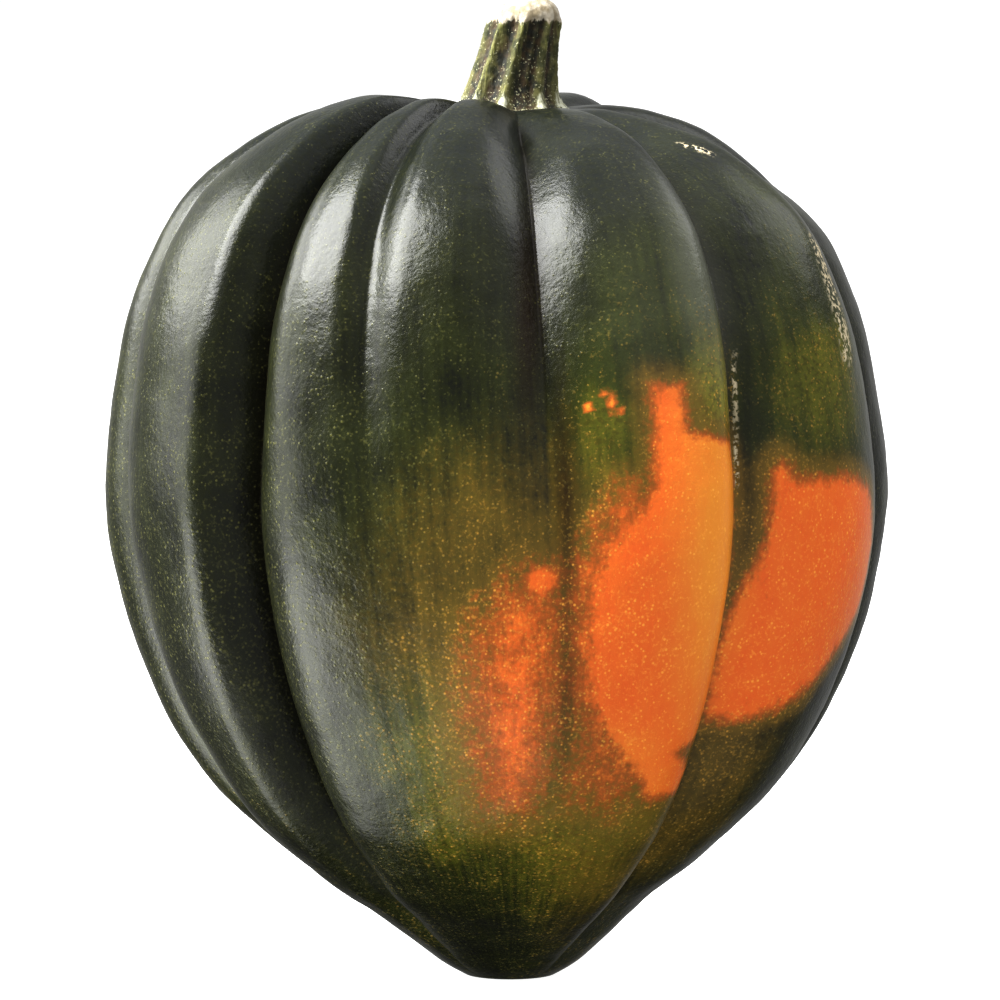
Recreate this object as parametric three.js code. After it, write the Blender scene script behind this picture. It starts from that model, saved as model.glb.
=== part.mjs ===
// An acorn squash, as picked: one ribbed fruit, and the short woody stem that it hung from.
//
// Frame: millimetres, +Z up. The origin is the middle of the flat spot at the blossom end,
// on which the squash stands. An azimuth is in degrees: 0 faces -Y, and 90 faces +X.
import * as THREE from "three";

// ---- Driving dimensions ------------------------------------------------------------------

// The mean crest of the lobes, from the flat spot up to the stem's seat: radius and height.
const CREST = [
  [7, 0],
  [10.8, 2.2],
  [15.9, 6.2],
  [23.5, 12.2],
  [33, 19],
  [44.4, 29.2],
  [52.9, 42.5],
  [58.3, 56.8],
  [61, 73.2],
  [59.8, 89.4],
  [56.4, 104.8],
  [49.2, 118.4],
  [37.4, 127.8],
  [26.4, 131.8],
  [17, 133.2],
  [9, 132.8],
];

// The lobes, each with the groove on its left. A pair holds the values at the flat spot and at
// the seat, and heights are measured outwards from the mean crest:
//   groove    azimuths of the groove
//   floor     height of the groove's floor
//   deepens   shares of the crest line between which the groove deepens
//   bulge     heights of the lobe's own crest
//   crest     where that crest lies, from -1 at the left groove to 1 at the right one
//   arch      powers of the left and the right flank: higher is flatter, with a steeper edge
//   roundness 0 where the groove is a crease, 1 where it is a round valley
// The first three lobes are one broad lobe low down, and part further up.
const PLAIN_LOBE = {
  floor: -6, deepens: [0, 0.35], crest: [0, 0], arch: [3.2, 3.2], roundness: 0,
};
const LOBES = [
  { groove: [-39, -42], bulge: [2.9, 3], crest: [0.25, 0.5], arch: [3.2, 1.5] },
  {
    groove: [-12, -23.5], floor: 0.2, deepens: [0.45, 0.82], roundness: 1,
    bulge: [2.5, 2.8], crest: [-0.7, -0.4], arch: [1.5, 2.6],
  },
  {
    groove: [7.8, 3.8], floor: -4, deepens: [0.36, 0.76], roundness: 0.35,
    bulge: [3.3, 0.5], crest: [-0.15, 0.5], arch: [2.3, 2.8],
  },
  {
    groove: [34.7, 36], floor: -4.6, roundness: 0.3,
    bulge: [-0.7, -0.8], crest: [-0.4, 0.35], arch: [1.4, 1.4],
  },
  { groove: [85.5, 73], floor: -5, bulge: [-2.3, -4] },
  { groove: [114, 110], bulge: [-2.5, 0.4] },
  { groove: [148, 143], bulge: [1.5, 2.9] },
  { groove: [181, 177], bulge: [1.2, 1.2] },
  { groove: [215, 210], bulge: [1, 1.8] },
  { groove: [252, 243], bulge: [0.4, 1.7] },
  { groove: [290.5, 273.5], floor: -7.5, bulge: [1.8, 3.3], crest: [0.4, 0.7], arch: [3.5, 1.7] },
].map((lobe) => ({ ...PLAIN_LOBE, ...lobe }));
const BULGES_SWELL = 0.15; // share of the crest line over which the bulges swell from the flat spot
const SEAT_FADE = 0.1; // share of the crest line over which bulges and grooves fade into the seat
const LOBE_COLUMNS = 8; // columns of faces across a lobe, narrower towards its grooves
const FRUIT_ROWS = 36; // rows of faces from the flat spot to the seat

// The stem's profile above its base: radius and height. It ends in the dome where it was cut.
const STEM_PROFILE = [
  [8.4, 0],
  [7.6, 1.2],
  [6.9, 3],
  [6.25, 6.2],
  [5.75, 9.4],
  [5.5, 12.4],
  [5.4, 13.6],
  [4.6, 15.2],
  [2.6, 16.4],
];
const STEM_HEIGHT = 16.8;
const STEM_GAP = 0.3; // between the stem's base and the seat
const STEM_RIDGES = 10;
const RIDGE_COLUMNS = 4;
const RIDGE_HEIGHT = 0.55; // a ridge's crest outside the profile, and its valley inside it
const RIDGE_TURN = 14; // degrees that the ridges turn from base to cut
const FIRST_RIDGE = -9; // azimuth of one ridge at the base
const STEM_LEAN = [2.9, 0.4]; // how far the cut's middle stands from the base's, in X and Y
const CUT_TILT = 4; // degrees that the cut rises towards +X

// ---- Helpers -----------------------------------------------------------------------------

const radians = THREE.MathUtils.degToRad;
const lerp = THREE.MathUtils.lerp;
const smoothstep = THREE.MathUtils.smoothstep;

function curveThrough(points) {
  return new THREE.SplineCurve(points.map(([r, z]) => new THREE.Vector2(r, z)));
}

// A lathe's vertices lie column by column round the axis, and its last column repeats its
// first. place(column, row) gives each vertex its own place.
function shapedLathe(profile, columns, place) {
  const geometry = new THREE.LatheGeometry(profile, columns);
  const position = geometry.attributes.position;
  for (let column = 0; column <= columns; column++) {
    for (let row = 0; row < profile.length; row++) {
      const { r, z, azimuth, shift = [0, 0] } = place(column % columns, row);
      const x = shift[0] + r * Math.sin(radians(azimuth));
      const y = shift[1] - r * Math.cos(radians(azimuth));
      position.setXYZ(column * profile.length + row, x, y, z);
    }
  }
  geometry.deleteAttribute("uv");
  geometry.computeVertexNormals();
  return geometry;
}

// ---- Fruit -------------------------------------------------------------------------------

const seatZ = CREST[CREST.length - 1][1];

// The height of a lobe's crest and of the groove on its left, at share s of the crest line, of
// which `up` is the share on the way from the lower values to the upper ones.
function bulgeHeight(index, s, up) {
  const lobe = LOBES[(index + LOBES.length) % LOBES.length];
  return lerp(...lobe.bulge, up) * smoothstep(s, 0, BULGES_SWELL);
}

function grooveHeight(index, s, up) {
  const lobe = LOBES[index % LOBES.length];
  const shallow = (bulgeHeight(index - 1, s, up) + bulgeHeight(index % LOBES.length, s, up)) / 2;
  return lerp(shallow, lobe.floor, smoothstep(s, ...lobe.deepens));
}

// The azimuth and the outward offset of one column of a lobe, at share s of the crest line.
function lobeSection(column, s) {
  const index = Math.floor(column / LOBE_COLUMNS);
  const lobe = LOBES[index];
  const next = LOBES[(index + 1) % LOBES.length];
  const across = (2 * (column % LOBE_COLUMNS)) / LOBE_COLUMNS - 1; // -1 and 1 at its grooves
  const u = lerp(across, Math.sin((across * Math.PI) / 2), 0.6);

  const up = smoothstep(s, 0.05, 0.95);
  const left = lerp(...lobe.groove, up);
  const right = lerp(...next.groove, up);
  const width = (right - left + 360) % 360;

  const crest = lerp(...lobe.crest, up);
  const side = u > crest ? 1 : 0;
  const share = side ? (u - crest) / (1 - crest) : (crest - u) / (1 + crest);
  const creased = share ** lobe.arch[side];
  const { roundness } = side ? next : lobe;
  const arch = lerp(creased, smoothstep(creased, 0, 1), roundness);
  const offset = lerp(bulgeHeight(index, s, up), grooveHeight(index + side, s, up), arch);
  return {
    azimuth: left + (width * (u + 1)) / 2,
    offset: offset * smoothstep(1 - s, 0, SEAT_FADE),
  };
}

function fruitGeometry() {
  const crest = curveThrough(CREST);
  const rows = crest.getSpacedPoints(FRUIT_ROWS);
  const profile = [new THREE.Vector2(0, 0), ...rows, new THREE.Vector2(0, seatZ)];
  return shapedLathe(profile, LOBES.length * LOBE_COLUMNS, (column, row) => {
    const s = THREE.MathUtils.clamp((row - 1) / FRUIT_ROWS, 0, 1);
    const { azimuth, offset } = lobeSection(column, s);
    if (profile[row].x === 0) {
      return { r: 0, z: profile[row].y, azimuth };
    }
    const along = crest.getTangentAt(s);
    return { r: profile[row].x + offset * along.y, z: profile[row].y - offset * along.x, azimuth };
  });
}

// ---- Stem --------------------------------------------------------------------------------

function stemGeometry() {
  const rows = curveThrough(STEM_PROFILE).getSpacedPoints(14);
  const profile = [new THREE.Vector2(0, 0), ...rows, new THREE.Vector2(0, STEM_HEIGHT)];
  const columns = STEM_RIDGES * RIDGE_COLUMNS;
  return shapedLathe(profile, columns, (column, row) => {
    const height = profile[row].y;
    const up = height / STEM_HEIGHT;
    const ridge = RIDGE_HEIGHT * Math.cos((2 * Math.PI * column) / RIDGE_COLUMNS);
    const ridged = profile[row].x * (1 + ridge / STEM_PROFILE[0][0]);
    const azimuth = FIRST_RIDGE + RIDGE_TURN * up + (360 * column) / columns;
    const tilt = Math.tan(radians(CUT_TILT)) * ridged * Math.sin(radians(azimuth)) * up ** 6;
    return {
      r: ridged,
      z: seatZ + STEM_GAP + height + tilt,
      azimuth,
      shift: STEM_LEAN.map((lean) => lean * up ** 1.4),
    };
  });
}

// ---- Squash ------------------------------------------------------------------------------

const rind = new THREE.MeshStandardMaterial({ color: "#26332a", roughness: 0.38, metalness: 0 });
const wood = new THREE.MeshStandardMaterial({ color: "#7c7a4a", roughness: 0.8, metalness: 0 });

const fruit = new THREE.Mesh(fruitGeometry(), rind);
fruit.name = "fruit";

const stem = new THREE.Mesh(stemGeometry(), wood);
stem.name = "stem";

const squash = new THREE.Group();
squash.add(fruit, stem);

export default squash;
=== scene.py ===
import functools
import math
import typing

import bmesh
import bpy
import numpy as np
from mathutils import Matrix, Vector, noise


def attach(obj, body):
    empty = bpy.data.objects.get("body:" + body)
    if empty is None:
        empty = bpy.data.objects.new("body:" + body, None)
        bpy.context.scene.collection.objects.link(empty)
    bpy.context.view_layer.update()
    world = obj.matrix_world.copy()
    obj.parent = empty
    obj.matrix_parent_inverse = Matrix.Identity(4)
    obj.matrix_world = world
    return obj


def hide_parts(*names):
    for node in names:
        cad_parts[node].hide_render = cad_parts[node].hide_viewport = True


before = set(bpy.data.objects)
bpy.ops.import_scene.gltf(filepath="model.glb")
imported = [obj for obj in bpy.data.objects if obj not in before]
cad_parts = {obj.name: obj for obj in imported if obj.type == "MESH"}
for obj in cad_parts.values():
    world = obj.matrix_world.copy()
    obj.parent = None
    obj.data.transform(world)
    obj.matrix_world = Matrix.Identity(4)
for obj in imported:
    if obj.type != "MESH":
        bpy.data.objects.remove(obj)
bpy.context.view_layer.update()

MM = 0.001

# ---- The fruit's shape -------------------------------------------------------------------

# The mean crest of the lobes, from the flat spot up to the stem's seat: radius and height.
CREST = [
    (7, 0), (10.8, 2.2), (15.9, 6.2), (23.5, 12.2), (33, 19), (44.4, 29.2), (52.9, 42.5), (58.3, 56.8),
    (61, 73.2), (59.8, 89.4), (56.4, 104.8), (49.2, 118.4), (37.4, 127.8), (26.4, 131.8), (17, 133.2),
    (9, 132.8),
]


class Lobe(typing.NamedTuple):
    """One lobe, with the groove on its left. A pair holds the values at the flat spot and at
    the seat. Heights are outwards from the mean crest."""

    groove: tuple  # azimuths of the groove
    bulge: tuple  # heights of the lobe's crest
    crest: tuple = (0, 0)  # where that crest lies, from -1 at the left groove to 1 at the right one
    arch: tuple = (3.2, 3.2)  # powers of the left and right flank, higher is flatter on top
    floor: float = -6  # height of the groove's floor
    deepens: tuple = (0, 0.35)  # shares of the crest line between which the groove deepens
    roundness: float = 0  # 0 where the groove is a crease, 1 where it is a round valley


# Lobes 0 to 2 are one broad lobe low down, and part further up.
LOBES = [
    Lobe((-39, -42), (2.9, 3), (0.25, 0.5), (3.2, 1.5)),
    Lobe((-12, -23.5), (2.5, 2.8), (-0.7, -0.4), (1.5, 2.6), 0.2, (0.45, 0.82), 1),
    Lobe((7.8, 3.8), (3.3, 0.5), (-0.15, 0.5), (2.3, 2.8), -4, (0.36, 0.76), 0.35),
    Lobe((34.7, 36), (-0.7, -0.8), (-0.4, 0.35), (1.4, 1.4), -4.6, roundness=0.3),
    Lobe((85.5, 73), (-2.3, -4), floor=-5),
    Lobe((114, 110), (-2.5, 0.4)),
    Lobe((148, 143), (1.5, 2.9)),
    Lobe((181, 177), (1.2, 1.2)),
    Lobe((215, 210), (1, 1.8)),
    Lobe((252, 243), (0.4, 1.7)),
    Lobe((290.5, 273.5), (1.8, 3.3), (0.4, 0.7), (3.5, 1.7), -7.5),
]
BULGES_SWELL = 0.15  # share of the crest line over which the bulges swell from the flat spot
SEAT_FADE = 0.1  # and over which bulges and grooves fade into the seat
LOBE_COLUMNS = 32  # columns of faces across a lobe
FRUIT_COLUMNS = LOBE_COLUMNS * len(LOBES)
FRUIT_ROWS = 258  # rows of faces from the flat spot to the seat
COLUMN_CROWDING = 0.6  # 0 for columns of even width, 1 for very narrow ones at the grooves
# Radius and height of the ringed scar inside the flat spot, and of the seat under the stem.
BLOSSOM_SCAR = [(0, 0.9), (1.1, 0.55), (2, 0.8), (3, 0.65), (4.2, 0.25), (5.6, 0.02)]
SEAT_MIDDLE = [(6, 132.7), (3, 132.6), (0, 132.6)]
LUMPS = [(0.28, 13), (0.10, 5.5), (0.05, 2.6)]  # height and size of the rind's lumps
LUMPS_FADE = (0.08, 0.05)  # shares of the crest line over which they fade, at the flat spot and the seat

# ---- The stem's shape --------------------------------------------------------------------

STEM_FOOT = 132.5  # just inside the seat
STEM_PROFILE = [
    (9.4, 0), (8.5, 0.7), (7.7, 1.6), (7, 3.2), (6.3, 6.6), (5.8, 9.8), (5.6, 12.6), (5.5, 13.8),
    (5.1, 15), (4.2, 16.1), (2.5, 17), (0, 17.4),
]
STEM_TOP = 17.4  # from the foot to the top of the cut
# The ridges at half height: azimuth, height over the valleys, and half width in degrees.
STEM_RIDGES = [
    (-77, 1.1, 12), (-39, 1.5, 10), (-3, 1.3, 9), (22, 0.35, 6), (42, 1.2, 9), (75, 1.3, 12),
    (110, 1.2, 11), (147, 1.4, 11), (182, 1.1, 12), (216, 1.3, 11), (251, 1.2, 11),
]
STEM_COLUMNS = 220
STEM_ROWS = 90
RIDGE_SHAPE = 1.6  # power of a ridge's section, higher is flatter on top
USUAL_RIDGE = 1.3  # a ridge of this height has the full colour of a ridge
RIDGE_TURN = 14  # degrees that the ridges turn from foot to cut
STEM_LEAN = (2.9, 0.4)  # how far the cut's middle stands from the foot's, in X and Y
CUT_TILT = 4  # degrees that the cut rises towards +X
CUT_EDGE = (12.8, 15)  # heights over the foot between which the outer wood ends in the cut
VALLEY_DEPTH = 0.75  # how deep the valleys lie in the profile
STEM_LUMPS = [(0.16, 0.9, (1, 1, 0.35)), (0.10, 0.5, (1, 1, 1))]  # height, size and pace in X, Y and Z

# ---- Markings ----------------------------------------------------------------------------

GIRTH_RADIUS = 56  # turns an azimuth into a length along the rind
STRAND_LENGTH = 190.4  # about the length of a lobe from the flat spot to the seat
GROOVE_SHADE_POWER = 12  # a higher power makes the painted shade in the grooves narrower
GROOVE_SHADE_DEPTHS = (1, 4)  # below the mean crest: from no painted shade to full painted shade

# Ripe patches: how ripe, soft edge in mm, how many mm around are turning brown, and the outline
# as azimuth in degrees and height in mm. One that is 0 ripe is only turning, and turns less.
UNRIPE = 0
UNRIPE_TURNING = 0.55
RIPE_PATCHES = [
    (1.05, 1.2, 6, [
        (20, 94.5), (24, 94), (24.7, 87.5), (33, 85.5), (34.4, 81), (34.4, 57), (34, 48), (32, 42.5),
        (26.5, 40), (31, 37), (30.5, 34), (24, 33), (19.5, 38), (15, 43), (12, 48),
        (10.8, 54), (11, 61), (12, 67.5), (15, 72.6), (18, 77), (19.5, 80), (20, 87),
    ]),
    (0.85, 3, 8, [
        (16, 80), (12, 73), (9.5, 67.5), (8.6, 61), (9.4, 51.5), (12.5, 44.5), (20, 44), (20, 70),
    ]),
    (0.45, 3, 8, [(9, 46), (20, 46), (24, 37), (18, 31), (9, 33)]),
    (0.95, 1.3, 6, [
        (41.8, 80.5), (43.5, 82), (46, 79.5), (56, 79.5), (64, 77), (69.5, 68), (68, 59),
        (61, 53), (55, 48.5), (49, 45), (43, 43.5), (36, 44), (35, 50), (35.5, 58), (38, 64.5),
        (40.5, 70), (41.5, 75),
    ]),
    (0.78, 4, 12, [
        (3, 67.5), (6.3, 67.5), (6.5, 54), (6, 45), (4.5, 38), (2, 33), (-3.5, 33), (-4.5, 45),
        (-4.5, 54), (-2.5, 61),
    ]),
    (UNRIPE, 1, 26, [(-1, 72), (4, 74), (4, 60), (-6, 60)]),
    (UNRIPE, 1, 22, [(14, 34), (40, 42), (40, 28), (20, 21)]),
]
# Ripe spots: azimuth, height, radius and how ripe.
RIPE_SPOTS = [
    (11, 91.4, 0.6, 0.9), (13.4, 93.4, 0.6, 0.9), (14, 92.1, 0.7, 0.9), (14.8, 90.9, 0.7, 0.9),
    (4.2, 66.5, 2.2, 0.95),
]
# Soft oval zones: azimuth and height of the middle, half width in degrees, half height in mm,
# and strength. The first ones are where the green is light and olive.
OLIVE_ZONES = [
    (0, 62, 22, 40, 0.34),
    (13, 29, 28, 23, 0.72),
    (-8, 36, 15, 24, 0.75),
    (14, 87, 9, 15, 0.6),
    (31, 94, 8, 11, 1),
    (24, 104, 11, 12, 0.35),
    (53, 94, 16, 19, 0.6),
    (56, 106, 18, 20, 0.25),
]
# Where ripe skin is golden.
GOLDEN_ZONES = [
    (30, 72, 8, 29, 1),
    (13, 92, 5, 5, 0.7),
    (15, 36, 12, 9, 0.5),
]
# Painted shade: where a groove is darkened although it is shallow.
GROOVE_SHADE_ZONES = [
    (7.6, 75, 1.8, 22, 0.6),
    (8, 52, 1.6, 16, 0.4),
    (2.5, 104, 2.2, 16, 0.6),
]
# Painted sheen: where a grey sheen of reflected light is painted over the green.
PAINTED_SHEEN_ZONES = [
    (31, 108, 6.5, 15, 0.55),
    (20, 104, 9, 15, 0.1),
]
# Two of these layers are painted light: shade in shallow grooves, and a grey sheen.
ZONES = {"olive": OLIVE_ZONES, "golden": GOLDEN_ZONES, "dark": GROOVE_SHADE_ZONES, "painted_sheen": PAINTED_SHEEN_ZONES}
# Corky scars: half width in mm, and the line as azimuth and height.
CORK_LINES = [
    (2, [(62.5, 113), (61, 106), (60.5, 97.5)]),
    (0.6, [(52, 128), (55.5, 126.8)]),
    (0.5, [(68, 119), (67, 116.5)]),
    (0.35, [(37.4, 98.5), (36.6, 91.5), (36.4, 86), (36, 79)]),
]

# ---- Helpers -----------------------------------------------------------------------------


def smoothstep(value, low, high):
    share = np.clip((value - low) / (high - low), 0, 1)
    return share * share * (3 - 2 * share)


def catmull_rom(points, places):
    """The smooth curve through the points, at places counted in points from the first."""
    knots = np.array([points[0], *points, points[-1]], float)
    start = np.minimum(places.astype(int), len(points) - 2)
    t = (places - start)[:, None]
    a, b, c, d = (knots[start + step] for step in range(4))
    return b + 0.5 * t * (c - a + t * (2 * a - 5 * b + 4 * c - d + t * (3 * (b - c) + d - a)))


def evenly_along(points, steps):
    """steps + 1 points, evenly spaced along the smooth curve through the given ones."""
    fine = np.linspace(0, len(points) - 1, 4001)  # many steps, to measure the curve's length by
    stretches = np.linalg.norm(np.diff(catmull_rom(points, fine), axis=0), axis=1)
    length = np.concatenate([[0], np.cumsum(stretches)])
    return catmull_rom(points, np.interp(np.linspace(0, length[-1], steps + 1), length, fine))


def spun_mesh(name, profile, columns):
    """Spins a profile of radius and height, in mm, into a closed skin round Z. Returns the mesh
    with each vertex's row in the profile and its column, which grows with the azimuth."""
    bm = bmesh.new()
    row_layer = bm.verts.layers.int.new("row")
    chain = []
    for row, (radius, height) in enumerate(profile):
        vert = bm.verts.new((radius * MM, 0, height * MM))
        vert[row_layer] = row
        chain.append(vert)
    edges = [bm.edges.new(pair) for pair in zip(chain, chain[1:])]
    bmesh.ops.spin(
        bm, geom=chain + edges, cent=(0, 0, 0), axis=(0, 0, 1), angle=2 * math.pi,
        steps=columns, use_merge=True,
    )
    bmesh.ops.remove_doubles(bm, verts=bm.verts, dist=1e-8)
    bmesh.ops.recalc_face_normals(bm, faces=bm.faces)
    for face in bm.faces:
        face.smooth = True
    mesh = bpy.data.meshes.new(name)
    bm.to_mesh(mesh)
    bm.free()
    place = positions(mesh)
    row = np.empty(len(mesh.vertices), int)
    mesh.attributes["row"].data.foreach_get("value", row)
    turn = np.degrees(np.arctan2(place[:, 0], -place[:, 1])) / 360
    return mesh, row, np.round(turn * columns).astype(int) % columns


def positions(mesh):
    place = np.empty(len(mesh.vertices) * 3)
    mesh.vertices.foreach_get("co", place)
    return place.reshape(-1, 3)


def move_to(mesh, place):
    mesh.vertices.foreach_set("co", place.ravel())
    mesh.update()


def add_attribute(mesh, name, values):
    kind, key = ("FLOAT_VECTOR", "vector") if values.ndim == 2 else ("FLOAT", "value")
    layer = mesh.attributes.new(name, kind, "POINT")
    layer.data.foreach_set(key, values.astype(np.float32).ravel())


def noise_at(place, size, seed):
    """Smooth noise, -1 to 1, with lumps of about the given size; place and size in mm."""
    shift = Vector((seed * 17.3, seed * 5.1, seed * 9.7))  # each seed looks at another place
    return np.array([noise.noise(Vector(point) / size + shift) for point in place])


def piece(name, mesh, material, node):
    """Finishes a piece, which stands for a CAD node and moves with the squash."""
    made = bpy.data.objects.new(name, mesh)
    bpy.context.scene.collection.objects.link(made)
    mesh.materials.append(material)
    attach(made, "root")
    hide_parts(node)


# ---- The fruit ---------------------------------------------------------------------------


def lobe_place(column, s):
    """The azimuth, the outward offset and the place across its lobe, -1 to 1, of each vertex."""
    index = column // LOBE_COLUMNS
    up = smoothstep(s, 0.05, 0.95)  # share of the way from a lobe's lower values to its upper ones

    def of_lobe(field, step=0):
        return np.array([getattr(lobe, field) for lobe in LOBES], float)[(index + step) % len(LOBES)].T

    def risen(field, step=0):
        low, high = of_lobe(field, step)
        return low + (high - low) * up

    def bulge(step):
        return risen("bulge", step) * smoothstep(s, 0, BULGES_SWELL)

    def groove_height(step):
        shallow = (bulge(step - 1) + bulge(step)) / 2
        depth = smoothstep(s, *of_lobe("deepens", step))
        return shallow + (of_lobe("floor", step) - shallow) * depth

    across = 2 * (column % LOBE_COLUMNS) / LOBE_COLUMNS - 1
    u = (1 - COLUMN_CROWDING) * across + COLUMN_CROWDING * np.sin(across * math.pi / 2)
    left, right = risen("groove"), risen("groove", 1)
    azimuth = left + (right - left) % 360 * (u + 1) / 2

    crest = risen("crest")
    on_right = u > crest
    share = np.abs(u - crest) / np.where(on_right, 1 - crest, 1 + crest)
    arch = share ** np.where(on_right, *of_lobe("arch")[::-1])
    roundness = np.where(on_right, of_lobe("roundness", 1), of_lobe("roundness"))
    arch += roundness * (smoothstep(arch, 0, 1) - arch)
    offset = arch * np.where(on_right, groove_height(1), groove_height(0)) + (1 - arch) * bulge(0)
    return azimuth, offset * smoothstep(1 - s, 0, SEAT_FADE), u


def patch_depth(outline, azimuth, height):
    """How far inside an outline each point lies, in mm along the rind; negative outside."""
    point = np.stack([np.radians(azimuth) * GIRTH_RADIUS, height], axis=1)
    corners = np.array(outline, float)
    corners[:, 0] = np.radians(corners[:, 0]) * GIRTH_RADIUS
    nearest = np.full(len(point), np.inf)
    inside = np.zeros(len(point), bool)
    for start, end in zip(corners, np.roll(corners, -1, axis=0)):
        nearest = np.minimum(nearest, line_distance(point, start, end))
        spans = (start[1] > point[:, 1]) != (end[1] > point[:, 1])
        rise = end[1] - start[1] or 1
        crossing = start[0] + (point[:, 1] - start[1]) * (end[0] - start[0]) / rise
        inside ^= spans & (point[:, 0] < crossing)
    return np.where(inside, nearest, -nearest)


def line_distance(point, start, end):
    along = end - start
    share = np.clip((point - start) @ along / (along @ along), 0, 1)
    return np.linalg.norm(point - start - share[:, None] * along, axis=1)


def ripeness(azimuth, height):
    """Returns two layers: how ripe the rind is, and how far it is turning around the patches."""
    ripe = np.zeros(len(azimuth))
    turning = np.zeros(len(azimuth))
    for strength, edge, reach, outline in RIPE_PATCHES:
        depth = patch_depth(outline, azimuth, height)
        ripe = np.maximum(ripe, strength * smoothstep(depth, -2 * edge, 2 * edge))
        around = UNRIPE_TURNING if strength == UNRIPE else 1
        turning = np.maximum(turning, around * smoothstep(depth, -reach, 0))
    for spot_azimuth, spot_height, radius, strength in RIPE_SPOTS:
        away = np.hypot(np.radians(azimuth - spot_azimuth) * GIRTH_RADIUS, height - spot_height)
        ripe = np.maximum(ripe, strength * smoothstep(-away, -2 * radius, 0))
    return ripe, turning


def in_zones(zones, azimuth, height):
    """How far into soft oval zones each point lies, up to a zone's strength at its middle."""
    level = np.zeros(len(azimuth))
    for zone_azimuth, zone_height, half_width, half_height, strength in zones:
        away = np.hypot((azimuth - zone_azimuth) / half_width, (height - zone_height) / half_height)
        level = np.maximum(level, strength * smoothstep(-away, -1.5, 0))
    return level


def corkiness(azimuth, height):
    """1 on the corky scars, falling to 0 at twice their half width."""
    point = np.stack([np.radians(azimuth) * GIRTH_RADIUS, height], axis=1)
    cork = np.zeros(len(point))
    for half_width, line in CORK_LINES:
        corners = np.array(line, float)
        corners[:, 0] = np.radians(corners[:, 0]) * GIRTH_RADIUS
        for start, end in zip(corners, corners[1:]):
            away = line_distance(point, start, end)
            cork = np.maximum(cork, smoothstep(-away, -2 * half_width, 0))
    return cork


def fruit_mesh():
    crest = evenly_along(CREST, FRUIT_ROWS)
    profile = [*BLOSSOM_SCAR, *crest, *SEAT_MIDDLE]
    mesh, row, column = spun_mesh("fruit_skin", profile, FRUIT_COLUMNS)

    crest_row = np.clip(row - len(BLOSSOM_SCAR), 0, FRUIT_ROWS)
    s = crest_row / FRUIT_ROWS
    on_crest = (row >= len(BLOSSOM_SCAR)) & (row <= len(BLOSSOM_SCAR) + FRUIT_ROWS)
    tangent = np.gradient(crest, axis=0)
    tangent /= np.linalg.norm(tangent, axis=1)[:, None]
    base = np.array(profile)[row]
    azimuth, offset, u = lobe_place(column, s)
    turn = np.radians(azimuth)

    def at(offset):
        radius = base[:, 0] + np.where(on_crest, offset * tangent[crest_row, 1], 0)
        height = base[:, 1] - np.where(on_crest, offset * tangent[crest_row, 0], 0)
        return np.stack([radius * np.sin(turn), -radius * np.cos(turn), height], axis=1)

    plain = at(offset)
    fade = smoothstep(s, 0, LUMPS_FADE[0]) * smoothstep(1 - s, 0, LUMPS_FADE[1])
    swell = sum(height * noise_at(plain, size, seed) for seed, (height, size) in enumerate(LUMPS, 1))
    place = at(offset + fade * swell)
    move_to(mesh, place * MM)

    spread = (azimuth + 180) % 360 - 180
    even_turn = 2 * math.pi * (column // LOBE_COLUMNS + (u + 1) / 2) / len(LOBES)
    # A place on a plain tube, so that strands which run along the tube follow the lobes.
    along = STRAND_LENGTH / GIRTH_RADIUS * s
    strand = np.stack([np.sin(even_turn), -np.cos(even_turn), along], axis=1) * GIRTH_RADIUS * MM
    add_attribute(mesh, "strand", strand)
    height = place[:, 2]
    ripe, turning = ripeness(spread, height)
    add_attribute(mesh, "ripe", ripe)
    add_attribute(mesh, "turning", turning)
    add_attribute(mesh, "cork", corkiness(spread, height))
    # The groove layer is painted shade: it rises near a groove and with its depth.
    add_attribute(mesh, "groove", np.abs(u) ** GROOVE_SHADE_POWER * smoothstep(-offset, *GROOVE_SHADE_DEPTHS))
    for name, zones in ZONES.items():
        add_attribute(mesh, name, in_zones(zones, spread, height))
    return mesh


# ---- The stem ----------------------------------------------------------------------------


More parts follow.
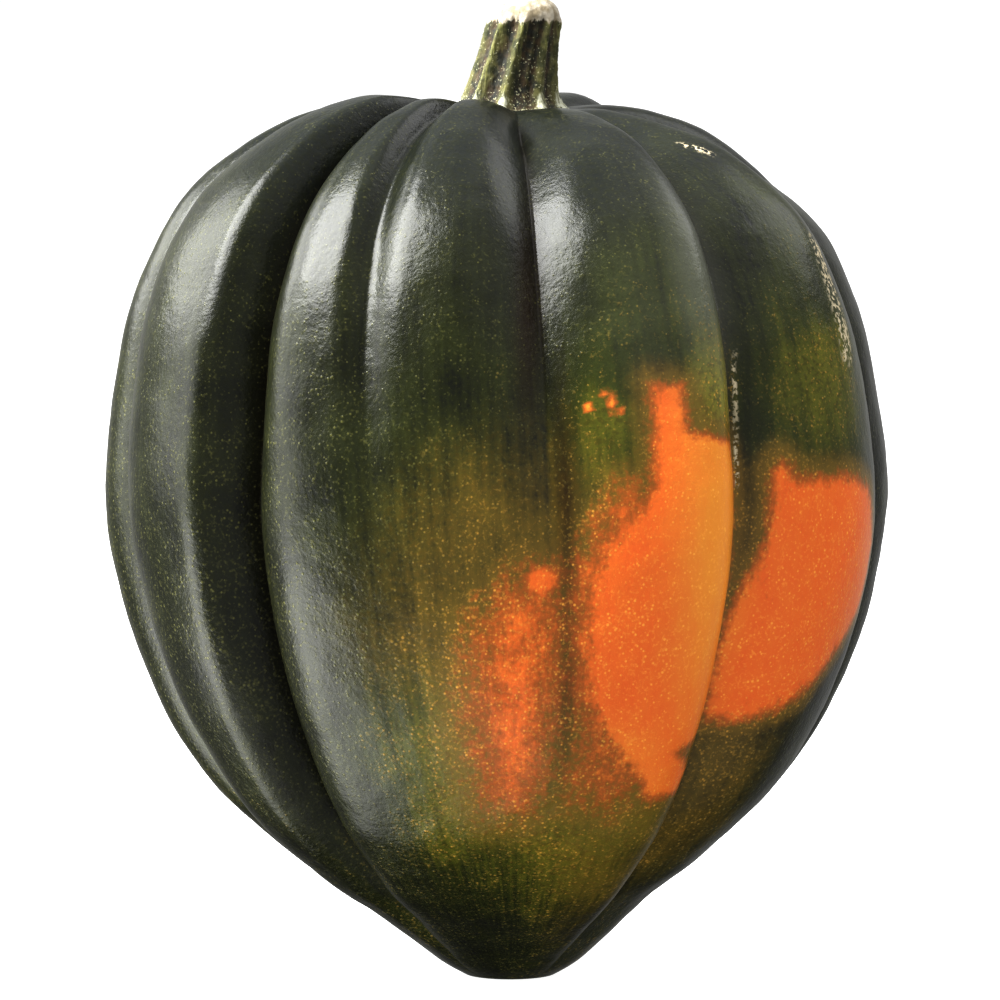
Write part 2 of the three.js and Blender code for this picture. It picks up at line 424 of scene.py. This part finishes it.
def stem_mesh():
    outline = evenly_along(STEM_PROFILE, STEM_ROWS)
    profile = [(0, 0.4), *outline]  # slightly hollow underneath
    mesh, row, column = spun_mesh("stem_skin", profile, STEM_COLUMNS)
    base = np.array(profile)[row]
    up = base[:, 1] / STEM_TOP
    spread = 360 * column / STEM_COLUMNS
    ridge = np.zeros(len(row))
    for ridge_azimuth, ridge_height, half_width in STEM_RIDGES:
        away = np.abs((spread - ridge_azimuth + 180) % 360 - 180) / half_width
        ridge = np.maximum(ridge, ridge_height * np.exp(-away ** RIDGE_SHAPE))
    cut = smoothstep(base[:, 1], *CUT_EDGE)
    turn = np.radians(spread + RIDGE_TURN * (up - 0.5))
    # The ridges are highest at the wide foot, and nearly gone on the cut.
    relief = (0.45 + 0.55 * base[:, 0] / STEM_PROFILE[0][0]) * (1 - 0.85 * cut)
    radius = base[:, 0] + (ridge - VALLEY_DEPTH) * relief
    radius = np.where(base[:, 0] > 0, np.maximum(radius, 0.02), 0)  # the poles stay on the axis
    # The stem curves as it leans, and only its top is tilted.
    lean = up ** 1.4
    tilt = math.tan(math.radians(CUT_TILT)) * radius * np.sin(turn) * up ** 6
    place = np.stack([
        radius * np.sin(turn) + STEM_LEAN[0] * lean,
        -radius * np.cos(turn) + STEM_LEAN[1] * lean,
        STEM_FOOT + base[:, 1] + tilt,
    ], axis=1)
    # Rough wood, smoother on the cut. The middles of the cut and the foot aren't moved.
    rough = sum(
        height * noise_at(place * stretch, size, seed)
        for seed, (height, size, stretch) in enumerate(STEM_LUMPS, len(LUMPS) + 1)
    )
    outward = np.stack([np.sin(turn), -np.cos(turn), 0 * turn], axis=1)
    place += outward * (rough * (1 - 0.6 * cut) * (base[:, 0] > 0.5))[:, None]
    move_to(mesh, place * MM)
    add_attribute(mesh, "ridge", np.clip(ridge / USUAL_RIDGE, 0, 1))
    add_attribute(mesh, "cut", cut)
    add_attribute(mesh, "up", up)
    return mesh


# ---- Materials ---------------------------------------------------------------------------


def colour(hex_code):
    """Linear RGBA from an sRGB hex code."""
    channels = [int(hex_code[start:start + 2], 16) / 255 for start in (1, 3, 5)]
    return [c / 12.92 if c <= 0.04045 else ((c + 0.055) / 1.055) ** 2.4 for c in channels] + [1]


def add_node(tree, kind, inputs=(), output=0, **settings):
    """Adds a shader node with its settings, and returns one of its outputs. The inputs are
    values, hex colours or other nodes' outputs, in a list in their order or in a dict. A Mix
    has its share at 0, and two colours at 6 and 7 or two numbers at 2 and 3. A mixed colour
    is its output 2."""
    node = tree.nodes.new("ShaderNode" + kind)
    for name, value in settings.items():
        setattr(node, name, value)
    for place, value in inputs.items() if isinstance(inputs, dict) else enumerate(inputs):
        if isinstance(value, bpy.types.NodeSocket):
            tree.links.new(value, node.inputs[place])
        elif isinstance(value, str):
            node.inputs[place].default_value = colour(value)
        else:
            node.inputs[place].default_value = value
    return node.outputs[output] if node.outputs else node


def new_material(name):
    """An empty node material, and the function that adds nodes to it."""
    material = bpy.data.materials.new(name)
    material.use_nodes = True
    material.node_tree.nodes.clear()
    return material, functools.partial(add_node, material.node_tree)


SMOOTH = "SMOOTHSTEP"  # a MapRange's soft ramp


def rind_material():
    """Grown cucurbit rind: a thin waxy cuticle over deep green and orange cells, so it has a
    satin gloss that is slightly hammered, and golden specks where the cuticle has pores."""
    material, add = new_material("acorn_rind_waxy")
    coords = add("TexCoord", output="Object")
    height = add("SeparateXYZ", [coords], output="Z")
    strand = add("Attribute", attribute_name="strand", output="Vector")
    ripe = add("Attribute", attribute_name="ripe", output="Fac")
    turning = add("Attribute", attribute_name="turning", output="Fac")
    olive = add("Attribute", attribute_name="olive", output="Fac")
    golden = add("Attribute", attribute_name="golden", output="Fac")
    # The dark layer is painted shade in shallow grooves.
    dark = add("Attribute", attribute_name="dark", output="Fac")
    # This layer is a painted sheen, grey over the green.
    painted_sheen = add("Attribute", attribute_name="painted_sheen", output="Fac")
    # The groove layer is painted shade in the deep grooves.
    groove = add("Attribute", attribute_name="groove", output="Fac")
    cork = add("Attribute", attribute_name="cork", output="Fac")

    # Noises: clouds of 9 mm, mottle of 3 mm, grain of 0.8 mm, and strands of 1.3 mm and shorter
    # fibres of 0.9 mm that follow the lobes.
    clouds = add("TexNoise", {"Vector": coords, "Scale": 1 / (9 * MM), "Detail": 3})
    mottle = add("TexNoise", {"Vector": coords, "Scale": 1 / (3 * MM), "Detail": 4})
    grain = add("TexNoise", {"Vector": coords, "Scale": 1 / (0.8 * MM), "Detail": 3})
    combed = add("Mapping", {"Vector": strand, "Scale": (1, 1, 1 / 12)})
    strands = add("TexNoise", {"Vector": combed, "Scale": 1 / (1.3 * MM), "Detail": 3})
    combed_short = add("Mapping", {"Vector": strand, "Scale": (1, 1, 1 / 4)})
    fibres = add("TexNoise", {"Vector": combed_short, "Scale": 1 / (0.9 * MM), "Detail": 3})

    # Greens: blackish above and at the back, olive low down in front, streaked by strands.
    lightness = add("Math", [clouds, 0.7, -0.35], operation="MULTIPLY_ADD")
    lightness = add("Math", [strands, 0.5, lightness], operation="MULTIPLY_ADD")
    lightness = add("Math", [grain, 0.4, lightness], operation="MULTIPLY_ADD")
    lightness = add("MapRange", {
        "Value": lightness, "From Min": 0.1, "From Max": 0.9,
    }, interpolation_type=SMOOTH)
    green = add("Mix", {0: lightness, 6: "#13150F", 7: "#2A2D1C"}, data_type="RGBA", output=2)
    upper = add("MapRange", {"Value": height, "From Min": 112 * MM, "From Max": 130 * MM, "To Max": 0.65})
    green = add("Mix", {0: upper, 6: green, 7: "#131718"}, data_type="RGBA", output=2)
    uneven = add("Math", [clouds, 0.5, -0.25], operation="MULTIPLY_ADD")
    uneven = add("Math", [strands, 0.4, uneven], operation="MULTIPLY_ADD")
    uneven = add("Math", [grain, 0.4, uneven], operation="MULTIPLY_ADD")
    uneven = add("Math", [uneven, 0.4], operation="SUBTRACT")
    low = add("MapRange", {"Value": height, "From Min": 50 * MM, "From Max": 20 * MM, "To Max": 0.22})
    olive = add("Math", [olive, low], operation="MAXIMUM")
    olive_edge = add("MapRange", {"Value": olive, "From Max": 0.2})
    olive = add("Math", [uneven, olive_edge, olive], operation="MULTIPLY_ADD")
    olive = add("MapRange", {"Value": olive, "From Max": 1})
    leafy = add("MapRange", {"Value": olive, "From Max": 0.5})
    green = add("Mix", {0: leafy, 6: green, 7: "#383E15"}, data_type="RGBA", output=2)
    yellow = add("MapRange", {"Value": olive, "From Min": 0.35, "From Max": 1})
    green = add("Mix", {0: yellow, 6: green, 7: "#767127"}, data_type="RGBA", output=2)
    dark_grain = add("MapRange", {"Value": grain, "From Min": 0.45, "From Max": 0.65, "To Max": 0.5})
    green = add("Mix", {0: dark_grain, 6: green, 7: "#171908"}, data_type="RGBA", output=2)

    # Painted shade: the deep grooves are darkened by their depth, over the rind's darker colour there.
    groove = add("MapRange", {"Value": groove, "From Max": 0.9, "To Max": 0.8})
    green = add("Mix", {0: groove, 6: green, 7: "#100C05"}, data_type="RGBA", output=2)

    # Ripe patches: from brown at their edges, which grain and fibres break up, to red and orange.
    ragged = add("Math", [mottle, 0.5, -0.25], operation="MULTIPLY_ADD")
    ragged = add("Math", [fibres, 0.3, ragged], operation="MULTIPLY_ADD")
    ragged = add("Math", [grain, 0.6, ragged], operation="MULTIPLY_ADD")
    ragged = add("Math", [ragged, 0.45], operation="SUBTRACT")
    near = add("MapRange", {"Value": turning, "From Max": 0.3})
    turning = add("Math", [uneven, near, turning], operation="MULTIPLY_ADD")
    turning = add("MapRange", {"Value": turning, "To Max": 0.8}, interpolation_type=SMOOTH)
    skin = add("Mix", {0: turning, 6: green, 7: "#6E5824"}, data_type="RGBA", output=2)
    near = add("MapRange", {"Value": ripe, "From Max": 0.12}, interpolation_type=SMOOTH)
    ripe = add("Math", [ragged, near, ripe], operation="MULTIPLY_ADD")
    brown = add("MapRange", {
        "Value": ripe, "From Min": 0.1, "From Max": 0.5,
    }, interpolation_type=SMOOTH)
    skin = add("Mix", {0: brown, 6: skin, 7: "#8E5222"}, data_type="RGBA", output=2)
    red = add("MapRange", {
        "Value": ripe, "From Min": 0.4, "From Max": 0.85,
    }, interpolation_type=SMOOTH)
    skin = add("Mix", {0: red, 6: skin, 7: "#C16128"}, data_type="RGBA", output=2)
    golden = add("Math", [fibres, 0.3, golden], operation="MULTIPLY_ADD")
    golden = add("Math", [mottle, 0.4, golden], operation="MULTIPLY_ADD")
    golden = add("MapRange", {"Value": golden, "From Min": 0.25, "From Max": 1.25})
    golden = add("Math", [golden, red], operation="MULTIPLY")
    skin = add("Mix", {0: golden, 6: skin, 7: "#C48434"}, data_type="RGBA", output=2)

    # Painted shade darkens some shallow grooves, and a painted sheen lays grey over the green.
    skin = add("Mix", {0: dark, 6: skin, 7: "#241205"}, data_type="RGBA", output=2)
    skin = add("Mix", {0: painted_sheen, 6: skin, 7: "#6A6C60"}, data_type="RGBA", output=2)

    # Golden specks, up to 0.6 mm across: round pores and a few flecks, in clusters, fewer near
    # the stem, and yellower where the rind is olive or ripe.
    crowd = add("MapRange", {
        "Value": height, "From Min": 125 * MM, "From Max": 60 * MM, "To Min": -0.04, "To Max": 0.02,
    })
    crowd = add("Math", [mottle, 0.16, crowd], operation="MULTIPLY_ADD")
    crowd = add("Math", [clouds, 0.12, crowd], operation="MULTIPLY_ADD")
    fleck = add("TexNoise", {"Vector": coords, "Scale": 1 / (0.5 * MM), "Detail": 2})
    fleck = add("Math", [fleck, crowd], operation="ADD")
    fleck = add("MapRange", {"Value": fleck, "From Min": 0.7, "From Max": 0.9, "To Max": 0.3})
    pores = add("TexVoronoi", {"Vector": coords, "Scale": 1 / (0.95 * MM)}, output="Distance")
    pores = add("Math", [crowd, -1.6, pores], operation="MULTIPLY_ADD")
    pores = add("MapRange", {
        "Value": pores, "From Min": 0.03, "From Max": -0.2, "To Max": 0.55,
    }, interpolation_type=SMOOTH)
    speck = add("Math", [fleck, pores], operation="MAXIMUM")
    warmth = add("Math", [ripe, olive], operation="MAXIMUM")
    warmth = add("Math", [warmth, turning], operation="MAXIMUM")
    warmth = add("MapRange", {"Value": warmth, "From Min": 0.15, "From Max": 0.9})
    gold = add("Mix", {0: warmth, 6: "#5F5E35", 7: "#DBA54B"}, data_type="RGBA", output=2)
    skin = add("Mix", {0: speck, 6: skin, 7: gold}, data_type="RGBA", output=2)

    # Corky scars: pale, dry flecks that the rind healed over.
    flakes = add("MapRange", {
        "Value": grain, "From Min": 0.47, "From Max": 0.57,
    }, interpolation_type=SMOOTH)
    cork = add("MapRange", {"Value": cork, "From Min": 0.2, "From Max": 0.8}, interpolation_type=SMOOTH)
    cork = add("Math", [cork, flakes], operation="MULTIPLY")
    skin = add("Mix", {0: cork, 6: skin, 7: "#A99F88"}, data_type="RGBA", output=2)

    # Fine relief: a hammered cuticle with lumps of 0.8 to 3 mm, raised specks and raised cork.
    pits = add("TexNoise", {"Vector": coords, "Scale": 1 / (0.35 * MM), "Detail": 2})
    relief = add("Math", [pits, 0.3, grain], operation="MULTIPLY_ADD")
    relief = add("Math", [speck, 0.8, relief], operation="MULTIPLY_ADD")
    relief = add("Math", [mottle, 1.5, relief], operation="MULTIPLY_ADD")
    relief = add("Math", [cork, 0.8, relief], operation="MULTIPLY_ADD")
    bump = add("Bump", {"Strength": 0.6, "Distance": 0.1 * MM, "Height": relief})
    roughness = add("MapRange", {"Value": cork, "To Min": 0.28, "To Max": 0.8})
    shader = add("BsdfPrincipled", {
        "Base Color": skin, "Roughness": roughness, "IOR": 1.3, "Normal": bump,
    })
    add("OutputMaterial", {"Surface": shader})
    return material


def stem_material():
    """Cut, drying vine wood: dull pale ridges over dark green valleys, and a chalky cut face."""
    material, add = new_material("stem_wood_dried")
    coords = add("TexCoord", output="Object")
    ridge = add("Attribute", attribute_name="ridge", output="Fac")
    cut = add("Attribute", attribute_name="cut", output="Fac")
    up = add("Attribute", attribute_name="up", output="Fac")
    combed = add("Mapping", {"Vector": coords, "Scale": (1, 1, 1 / 7)})
    fibre = add("TexNoise", {"Vector": combed, "Scale": 1 / (0.5 * MM), "Detail": 4})
    mottle = add("TexNoise", {"Vector": coords, "Scale": 1 / (1.4 * MM), "Detail": 4})

    crest = add("Math", [fibre, 1.3, -0.65], operation="MULTIPLY_ADD")
    crest = add("Math", [crest, ridge], operation="ADD")
    flank = add("MapRange", {
        "Value": crest, "From Min": 0.1, "From Max": 0.7,
    }, interpolation_type=SMOOTH)
    patchy = add("MapRange", {"Value": mottle, "From Min": 0.4, "From Max": 0.6})
    valley = add("Mix", {0: patchy, 6: "#15160A", 7: "#33260F"}, data_type="RGBA", output=2)
    olive = add("Mix", {0: patchy, 6: "#2F3112", 7: "#53512D"}, data_type="RGBA", output=2)
    wood = add("Mix", {0: flank, 6: valley, 7: olive}, data_type="RGBA", output=2)
    top = add("MapRange", {
        "Value": crest, "From Min": 0.85, "From Max": 1.2, "To Max": 0.8,
    }, interpolation_type=SMOOTH)
    wood = add("Mix", {0: top, 6: wood, 7: "#6A6A3C"}, data_type="RGBA", output=2)

    # Chalky skirts at the foot of the ridges, and warts that thin out upwards.
    skirt = add("MapRange", {"Value": up, "From Min": 0.3, "From Max": 0.05})
    skirt = add("Math", [skirt, ridge], operation="MULTIPLY")
    skirt = add("Math", [skirt, fibre], operation="MULTIPLY")
    skirt = add("MapRange", {
        "Value": skirt, "From Min": 0.2, "From Max": 0.4, "To Max": 0.8,
    }, interpolation_type=SMOOTH)
    wood = add("Mix", {0: skirt, 6: wood, 7: "#9C9D90"}, data_type="RGBA", output=2)
    warts = add("TexNoise", {"Vector": coords, "Scale": 1 / (0.4 * MM), "Detail": 2})
    low = add("MapRange", {"Value": up, "From Min": 1, "From Max": 0.1, "To Max": 0.1})
    warts = add("Math", [warts, low], operation="ADD")
    warts = add("MapRange", {
        "Value": warts, "From Min": 0.68, "From Max": 0.77, "To Max": 0.7,
    }, interpolation_type=SMOOTH)
    wood = add("Mix", {0: warts, 6: wood, 7: "#96947A"}, data_type="RGBA", output=2)

    # The cut is ragged, and runs down the ridges.
    pith = add("Mix", {0: patchy, 6: "#8F897C", 7: "#756C59"}, data_type="RGBA", output=2)
    edge = add("Math", [fibre, 1.2, -0.7], operation="MULTIPLY_ADD")
    edge = add("Math", [ridge, 0.25, edge], operation="MULTIPLY_ADD")
    edge = add("Math", [edge, cut], operation="ADD")
    edge = add("MapRange", {
        "Value": edge, "From Min": 0.35, "From Max": 0.55,
    }, interpolation_type=SMOOTH)
    wood = add("Mix", {0: edge, 6: wood, 7: pith}, data_type="RGBA", output=2)
    bump = add("Bump", {"Strength": 0.6, "Distance": 0.3 * MM, "Height": fibre})
    shader = add("BsdfPrincipled", {
        "Base Color": wood, "Roughness": 0.75, "IOR": 1.45, "Normal": bump,
    })
    add("OutputMaterial", {"Surface": shader})
    return material


# ---- Studio ------------------------------------------------------------------------------

# Lengths are in metres here.
FLOOR_RADIUS = 6
CAMERA_TARGET = Vector((0, 0, 0.070))
CAMERA_ELEVATION = 5
CAMERA_DISTANCE = 1.0
LENS = 234.9  # millimetres, on a 36 mm sensor
SHIFT = (-0.010, 0.020)  # of the lens, in picture widths
LIGHT_DISTANCE = 1.3
# Soft lamps: azimuth, elevation, width and height, and brightness, where 1 looks white.
SOFTBOXES = {
    "key_softbox": (-75, 48, 1.0, 0.95, 33),
    "left_softbox": (-122, 27, 0.6, 0.6, 8),
    "top_softbox": (180, 74, 1.2, 1.2, 1.2),
    "right_softbox": (118, 40, 0.8, 0.7, 4),
}
CONTRAST_GAMMA = 0.72  # below 1, the picture has more contrast, as a catalogue picture does
WORLD_DIM = 0.48  # brightness of the dim surroundings
WORLD_SEEN = 1.05  # and of the plain backdrop that the camera sees
# Glows in the surroundings: azimuth, elevation, half spread and brightness at the middle.
WORLD_GLOWS = [
    (-74, -20, 28, 10),
    (-82, -42, 36, 10),
    (-95, 18, 34, 7.7),
    (60, 55, 50, 1.7),
    (85, 0, 55, 0.55),
    (20, -28, 70, 1.0),
    (-25, -55, 28, 2.5),
    (180, 15, 60, 0.3),
    (180, -60, 60, -0.4),  # shade under the squash
]


def studio_floor():
    bm = bmesh.new()
    bmesh.ops.create_circle(bm, cap_ends=True, radius=FLOOR_RADIUS, segments=128)
    mesh = bpy.data.meshes.new("studio_floor")
    bm.to_mesh(mesh)
    bm.free()
    floor = bpy.data.objects.new("studio_floor", mesh)
    bpy.context.scene.collection.objects.link(floor)
    material, add = new_material("matt_white_paint")
    shader = add("BsdfPrincipled", {
        "Base Color": "#909090", "Roughness": 0.9, "Specular IOR Level": 0,
        "Emission Color": "#FFFFFF", "Emission Strength": 0.95,
    })
    add("OutputMaterial", {"Surface": shader})
    mesh.materials.append(material)
    floor.visible_glossy = False
    floor.visible_diffuse = False


def direction(azimuth, elevation):
    turn, rise = math.radians(azimuth), math.radians(elevation)
    return Vector((math.sin(turn) * math.cos(rise), -math.cos(turn) * math.cos(rise), math.sin(rise)))


def softbox(name, azimuth, elevation, width, height, brightness):
    """A rectangular lamp that faces the squash; brightness 1 looks as bright as white."""
    data = bpy.data.lights.new(name, "AREA")
    data.shape = "RECTANGLE"
    data.size, data.size_y = width, height
    data.energy = brightness * math.pi * width * height
    lamp = bpy.data.objects.new(name, data)
    bpy.context.scene.collection.objects.link(lamp)
    away = direction(azimuth, elevation)
    lamp.location = CAMERA_TARGET + away * LIGHT_DISTANCE
    lamp.rotation_euler = away.to_track_quat("Z", "Y").to_euler()
    lamp.visible_camera = False


def studio_world():
    """Dim surroundings with soft glows, mostly on the left, that the camera sees as plain white."""
    world = bpy.data.worlds.new("studio_world")
    world.use_nodes = True
    tree = world.node_tree
    tree.nodes.clear()
    add = functools.partial(add_node, tree)
    toward = add("TexCoord", output="Generated")
    strength = WORLD_DIM
    for azimuth, elevation, spread, brightness in WORLD_GLOWS:
        facing = add(
            "VectorMath", [toward, direction(azimuth, elevation)], output="Value", operation="DOT_PRODUCT"
        )
        edge = math.cos(math.radians(spread))
        glow = add(
            "MapRange", {"Value": facing, "From Min": edge, "From Max": 1, "To Max": brightness},
            interpolation_type=SMOOTH,
        )
        strength = add("Math", [glow, strength], operation="ADD")
    seen = add("LightPath", output="Is Camera Ray")
    shown = add("Mix", {0: seen, 2: strength, 3: WORLD_SEEN}, data_type="FLOAT")
    shader = add("Background", {"Color": "#FFFFFF", "Strength": shown})
    add("OutputWorld", {"Surface": shader})
    bpy.context.scene.world = world


def camera():
    data = bpy.data.cameras.new("camera")
    data.lens = LENS
    data.sensor_width = 36
    data.shift_x, data.shift_y = SHIFT
    data.clip_end = 20
    made = bpy.data.objects.new("camera", data)
    bpy.context.scene.collection.objects.link(made)
    back = direction(0, CAMERA_ELEVATION)
    made.location = CAMERA_TARGET + back * CAMERA_DISTANCE
    made.rotation_euler = back.to_track_quat("Z", "Y").to_euler()
    bpy.context.scene.camera = made


piece("squash_fruit", fruit_mesh(), rind_material(), "fruit")
piece("squash_stem", stem_mesh(), stem_material(), "stem")
studio_floor()
for lamp_name, lamp in SOFTBOXES.items():
    softbox(lamp_name, *lamp)
studio_world()
camera()
bpy.context.scene.view_settings.view_transform = "Standard"
bpy.context.scene.view_settings.gamma = CONTRAST_GAMMA
